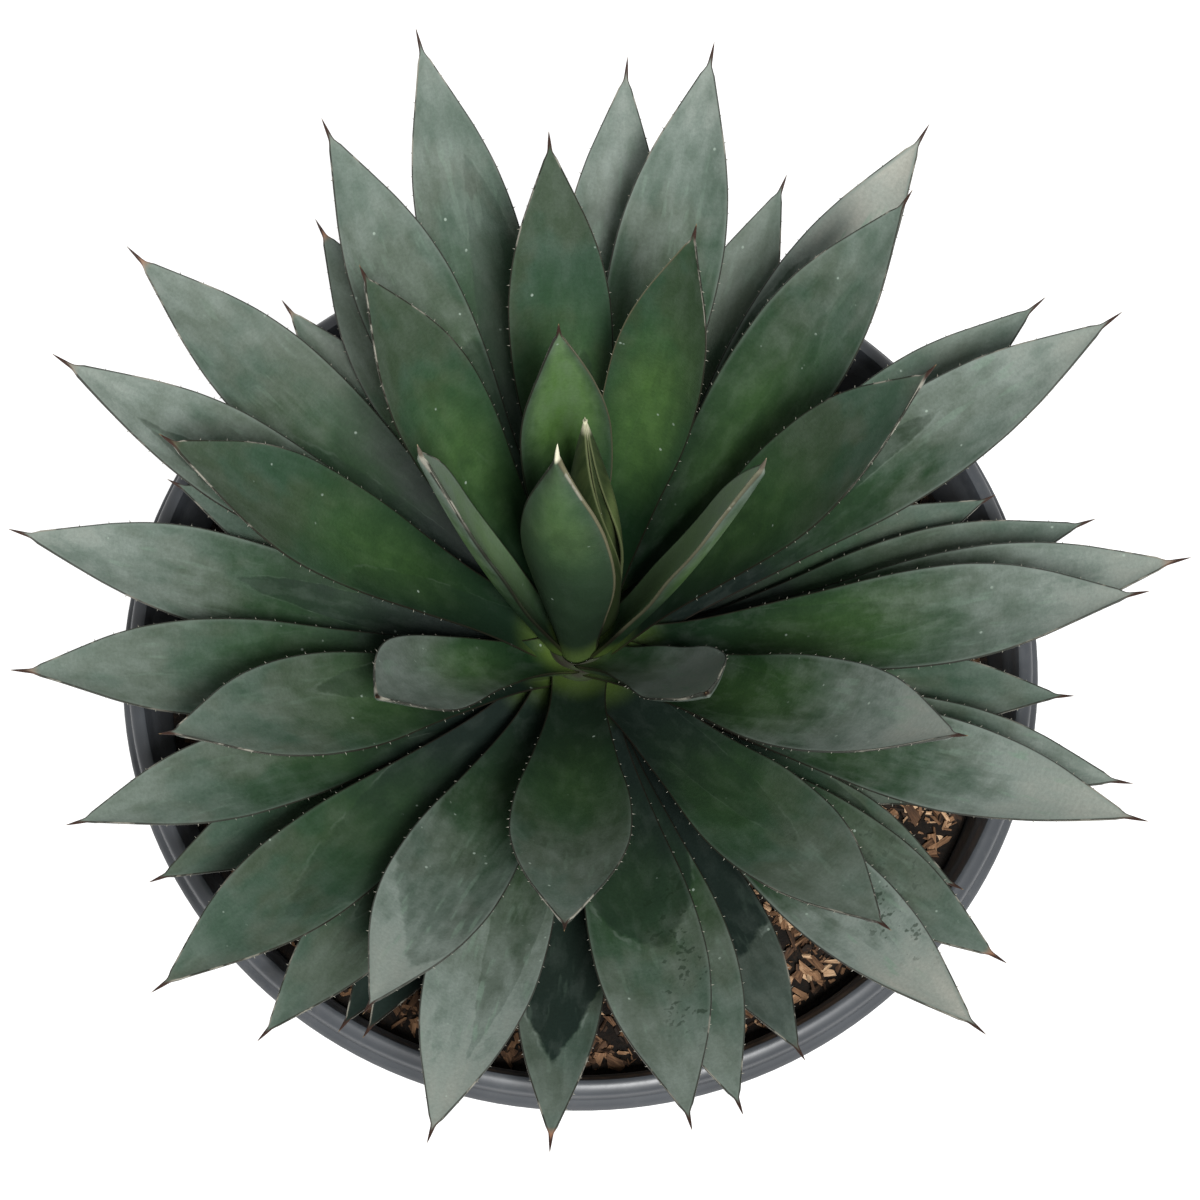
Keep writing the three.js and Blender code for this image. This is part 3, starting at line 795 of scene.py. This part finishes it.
# The leaf's skin: the greens lie lowest, and bloom, specks, margins and the spine go over them
class LeafFinish(Finish):
    def __init__(self):
        super().__init__("waxyLeaf", {"IOR": 1.45, "Specular IOR Level": 0.2})
        self.grain = self.vector("grain")
        self.along = self.number("along")
        self.across = self.number("across")
        self.upper = self.number("upper")
        self.green = self.number("green")
        self.bloom = self.number("bloom")
        self.cloud = self.noise(self.grain, 0.9, 4, 0.6)
        self.patch = self.noise(self.stretch(self.grain, (1, 0.6, 1)), 0.5, 3, 0.55)
        self.brush = self.noise(self.stretch(self.grain, (1.8, 0.5, 1)), 1.0, 4, 0.62)
        self.dabs = self.noise(self.stretch(self.grain, (2.2, 0.9, 1)), 1.0, 3, 0.5)
        self.fine = self.noise(self.grain, 10, 3, 0.7)
        drift = self.along + (self.cloud - 0.5) * leafSkin["cloudShift"]
        self.drift = drift + (self.patch - 0.5) * leafSkin["patchShift"] + self.number("ripen")
        self.ripe = self.drift.rise(*leafSkin["ripeAt"])

    def greens(self):
        green, drift = self.green, self.drift
        # Darker towards the foot: the leaf's own unbloomed green, with painted shade of the crowded rosette
        # in it
        colour = self.mix(green.rise(0.05, 0.4), leafSkin["slate"], leafSkin["deep"])
        colour = self.mix(self.along.fall(*leafSkin["footAt"]), colour, leafSkin["foot"])
        colour = self.mix(drift.rise(*leafSkin["bodyAt"]), colour, leafSkin["body"])
        hue = self.mix(self.patch.rise(0.42, 0.56), leafSkin["teal"], leafSkin["olive"])
        colour = self.mix(drift.rise(*leafSkin["hueAt"]) * (0.9 - 0.6 * green), colour, hue)
        # Painted glow: light shining through the young blades is painted as brighter green across the
        # middle of the blade, over their own fresher green
        middle = abs(self.along - self.number("glowAt")).fall(*leafSkin["glowReach"])
        middle = middle * (1 - self.across * self.across) ** 1.2
        uneven = 0.25 + 0.8 * self.cloud + 0.35 * self.dabs.rise(0.35, 0.65)
        colour = self.mix(green * middle * uneven, colour, leafSkin["glow"])
        # Painted shade: leaves that lie in the shade of others are darkened towards slate by their shade
        # number
        colour = self.mix(self.number("shade"), colour, leafSkin["slate"])
        # Painted light: the upper faces of the two rolled heart leaves, which the lamp only grazes, are
        # painted brighter
        light = self.number("light") * self.upper * self.along.rise(*leafSkin["paintedLightAt"])
        return self.mix(light, colour, leafSkin["light"])

    # Outline that an older neighbour left on the leaf in the bud: above 0 on the tip's side of it
    def budPrint(self):
        place = self.along + (self.cloud - 0.5) * leafSkin["printShift"]
        bow = abs(self.across - self.number("printSide")) ** 1.4 * self.number("printBend")
        return place - self.number("printTop") + bow

    # Light and dark dabs and brush marks, stronger towards the tip
    def mottle(self):
        dabs, ripe = self.dabs, self.ripe
        daub = dabs.rise(0.42, 0.45) + dabs.rise(0.50, 0.53) + dabs.rise(0.58, 0.61) - 1.4
        brushed = (self.brush - 0.5) * (0.3 + 0.35 * ripe)
        return daub * (0.03 + 0.08 * ripe) + brushed + (self.cloud - 0.5) * ripe * 0.2

    def bloomed(self, colour):
        bloom, ripe, upper = self.bloom, self.ripe, self.upper
        near = self.budPrint()
        covered = near.fall(-leafSkin["printSoft"], leafSkin["printSoft"]) * self.number("print")
        colour = self.mix(covered * leafSkin["coverDark"], colour, leafSkin["slate"])
        least, gain = leafSkin["bloomed"]
        pale = bloom * (least + gain * ripe) * (1 - covered * leafSkin["coverBare"]) * (0.6 + 0.4 * upper)
        pale = pale + self.mottle() * (0.25 + 0.75 * bloom)
        colour = self.mix(pale, colour, leafSkin["bloom"])
        dry = self.along.rise(*leafSkin["dryAt"]) * bloom * leafSkin["dryFrost"]
        colour = self.mix((pale - 0.95) * 0.5 + dry, colour, leafSkin["frost"])
        stroke = self.noise(self.stretch(self.grain, (5, 0.9, 1)), 0.8, 2, 0.5)
        stroke = stroke.rise(0.58, 0.70) * ripe * self.along.fall(*leafSkin["clearAt"]) * bloom
        colour = self.mix(stroke * leafSkin["strokes"], colour, leafSkin["stroke"])
        colour = self.mix((1 - upper) * (0.5 - 0.4 * self.green), colour, leafSkin["under"])
        edge = abs(near - 0.012).fall(0.002, 0.012) * self.number("print") * self.brush.rise(0.45, 0.6)
        colour = self.mix(edge * leafSkin["printEdge"], colour, leafSkin["bloom"])
        grains = self.mix(self.fine, (0.2, 0.2, 0.2), (0.8, 0.8, 0.8))
        return self.mix(leafSkin["grainy"], colour, grains, "OVERLAY")

    def specked(self, colour):
        freckle = self.cells(self.stretch(self.grain, (1.5, 1.3, 1)), 1.0).fall(0.035, 0.08)
        freckle = freckle * self.cloud.rise(0.46, 0.56)
        colour = self.mix(freckle * leafSkin["specks"], colour, leafSkin["speck"])
        pit = self.noise(self.grain, 3.6, 2, 0.6).rise(0.58, 0.66)
        pit = pit * self.along.rise(*leafSkin["pitsAt"]) * self.along.fall(*leafSkin["clearAt"])
        pitted = self.number("pits") * self.across.fall(-0.3, 0.3)
        return self.mix(pit * pitted * leafSkin["pitting"], colour, leafSkin["pit"])

    def edged(self, colour):
        along, brush, inward = self.along, self.brush, self.number("inward")
        halo = inward.fall(*leafSkin["haloWidth"]) * along.rise(*leafSkin["haloAt"]) * self.bloom
        colour = self.mix(halo * leafSkin["halo"], colour, leafSkin["bloom"])
        margin = inward.fall(*leafSkin["marginWidth"]) * (0.5 + 0.7 * brush)
        colour = self.mix(margin, colour, leafSkin["margin"])
        creamSide = (self.across * self.number("cream")).rise(0.0, 0.8) * along.rise(*leafSkin["creamAt"])
        colour = self.mix(creamSide * inward.fall(*leafSkin["creamWidth"]), colour, leafSkin["cream"])
        worn = inward.fall(*leafSkin["wornWidth"]) * along.rise(*leafSkin["wornAt"])
        worn = worn * brush.rise(0.52, 0.60)
        return self.mix(worn * leafSkin["worn"] + self.number("tooth"), colour, leafSkin["tooth"])

    def spined(self, colour):
        along = self.along
        colour = self.mix(along.rise(*leafSkin["tanAt"]) * self.number("tan"), colour, leafSkin["tan"])
        pointed = along + abs(self.across) * 0.012
        colour = self.mix(pointed.rise(*leafSkin["spineAt"]), colour, leafSkin["spine"])
        spineTip = along.rise(*leafSkin["spineTipAt"]) * leafSkin["spineTipPale"]
        colour = self.mix(spineTip, colour, leafSkin["spineTip"])
        paleSpine = along.rise(*leafSkin["paleSpineAt"]) * self.number("paleSpine")
        return self.mix(paleSpine, colour, leafSkin["paleSpine"])


def makeLeafFinish():
    finish = LeafFinish()
    colour = finish.bloomed(finish.greens())
    colour = finish.edged(finish.specked(colour))
    finish.wear(finish.spined(colour), leafSkin["roughness"] + 0.2 * finish.cloud)
    finish.bump(finish.brush * 0.7 + finish.fine * 0.25, leafSkin["bump"], 0.0005)
    return finish


leafFinish = makeLeafFinish()
for number, row in enumerate(leafRows, 1):
    makeLeaf(number, row, leafFinish)
print("leaves grown:", len(leafRows))

# Heart: two leaves still rolled round each other, with a slit between the margins
spindle = {
    "length": 156,  # mm
    "width": 16,
    "depth": 12,
    "turn": -20,  # degrees
    "lean": -2,
    "foot": (6.5, 0, 203),
    "outline": [(0, 0.5), (0.25, 0.85), (0.45, 1), (0.65, 0.85), (0.85, 0.42), (0.96, 0.12), (1, 0)],
    "sheets": [  # size against the outline, then the slit in degrees: at the foot, at the tip, half width
        (1, 15, -62, 13),
        (0.74, -25, -88, 22),
    ],
    "sheet": 0.8,
    "rows": 60,
    "columns": 44,
    "freshFrom": (0.0062, 0.0092),  # metres to the right
    "olive": (0.038, 0.054, 0.017),
    "shade": (0.016, 0.027, 0.008),
    "brightSide": (0.115, 0.155, 0.052),
    "edge": (0.250, 0.280, 0.130),
    "tip": (0.420, 0.410, 0.280),
}


def makeSpindleFinish():
    finish = Finish("rolledLeaf", {"Specular IOR Level": 0.35})
    grain = finish.vector("grain")
    streak = finish.noise(finish.stretch(grain, (5, 0.5, 1)), 1.0, 3, 0.55)
    along, inward = finish.number("along"), finish.number("inward")
    colour = finish.mix(streak.rise(0.3, 0.7), spindle["shade"], spindle["olive"])
    colour = finish.mix(along.rise(0.1, 0.5) * 0.6, spindle["shade"], colour)
    rightSide = finish.axis(finish.place(), "X").rise(*spindle["freshFrom"])
    colour = finish.mix(rightSide * along.rise(0.4, 0.7) * (0.5 + 0.5 * streak), colour, spindle["brightSide"])
    colour = finish.mix(inward.fall(0.2, 0.7) * 0.35, colour, spindle["edge"])
    colour = finish.mix(along.rise(0.93, 0.97), colour, spindle["tip"])
    finish.wear(colour, 0.5)
    finish.bump(streak, 0.4, 0.0004)
    return finish


def addRolledSheet(bm, layers, size, slitFoot, slitTip, half):
    made = bmesh.ops.create_grid(bm, x_segments=spindle["columns"], y_segments=spindle["rows"], size=1)
    for vert in made["verts"]:
        share = (vert.co.y + 1) / 2
        slit = mixed(slitFoot, slitTip, smoothStep(0.2, 0.95, share))
        angle = math.radians(slit + mixed(half, 360 - half, (vert.co.x + 1) / 2))
        spread = size * curveThrough(spindle["outline"], share * mixed(0.96, 1, size))
        across, deep = spindle["width"] / 2 * spread, spindle["depth"] / 2 * spread
        vert[layers["along"]] = share
        vert[layers["inward"]] = (1 - abs(vert.co.x)) * across * math.pi
        wrap = vert.co.x * across * math.pi
        vert[layers["grain"]] = Vector((wrap, share * spindle["length"], size * 9)) / 10
        level = share * spindle["length"] * mixed(0.94, 1, size)
        vert.co = Vector((across * math.cos(angle), deep * math.sin(angle), level)) * mm
    bmesh.ops.remove_doubles(bm, verts=made["verts"], dist=0.00002)


def makeSpindle():
    bm = bmesh.new()
    layers = {name: bm.verts.layers.float.new(name) for name in ("along", "inward")}
    layers["grain"] = bm.verts.layers.float_vector.new("grain")
    for sheet in spindle["sheets"]:
        addRolledSheet(bm, layers, *sheet)
    bmesh.ops.recalc_face_normals(bm, faces=bm.faces)
    turn = Matrix.Rotation(math.radians(spindle["turn"]), 4, "Z")
    lean = Matrix.Rotation(math.radians(spindle["lean"]), 4, "Y")
    bmesh.ops.transform(
        bm, verts=bm.verts, matrix=Matrix.Translation(Vector(spindle["foot"]) * mm) @ lean @ turn)
    piece = makePiece(bm, "rolledHeart", makeSpindleFinish(), "spindle")
    thick = piece.modifiers.new("sheet", "SOLIDIFY")
    thick.thickness = spindle["sheet"] * mm
    thick.offset = -1


makeSpindle()
print("heart rolled")

# Floor and light
stage = {
    "halfFloor": 3,  # metres
    "paper": (0.30, 0.30, 0.30),
    "paperGlow": 0.92,
    "sky": 0.5,
    "keyPlace": (0.25, -0.84, 1.87),
    "keyTarget": (0, 0, 0.22),
    "keySize": 0.35,
    "keyPower": 50,  # watts
}


def makeFloor():
    bm = bmesh.new()
    bmesh.ops.create_grid(bm, x_segments=1, y_segments=1, size=stage["halfFloor"])
    mesh = bpy.data.meshes.new("floor")
    bm.to_mesh(mesh)
    bm.free()
    paper = Finish("floorPaper", {
        "Base Color": (*stage["paper"], 1), "Roughness": 0.95,
        "Emission Color": (1, 1, 1, 1), "Emission Strength": stage["paperGlow"],
    })
    mesh.materials.append(paper.material)
    floor = bpy.data.objects.new("floor", mesh)
    bpy.context.scene.collection.objects.link(floor)


def makeKeyLight():
    data = bpy.data.lights.new("key", "AREA")
    data.size = stage["keySize"]
    data.energy = stage["keyPower"]
    lamp = bpy.data.objects.new("key", data)
    lamp.location = stage["keyPlace"]
    away = Vector(stage["keyPlace"]) - Vector(stage["keyTarget"])
    lamp.rotation_euler = away.to_track_quat("Z", "Y").to_euler()
    bpy.context.scene.collection.objects.link(lamp)


def makeSky():
    world = bpy.data.worlds.new("softSky")
    world.use_nodes = True
    sky = world.node_tree.nodes["Background"]
    sky.inputs["Color"].default_value = (1, 1, 1, 1)
    sky.inputs["Strength"].default_value = stage["sky"]
    bpy.context.scene.world = world
    bpy.context.scene.view_settings.view_transform = "Standard"


makeFloor()
makeKeyLight()
makeSky()
print("stage lit")
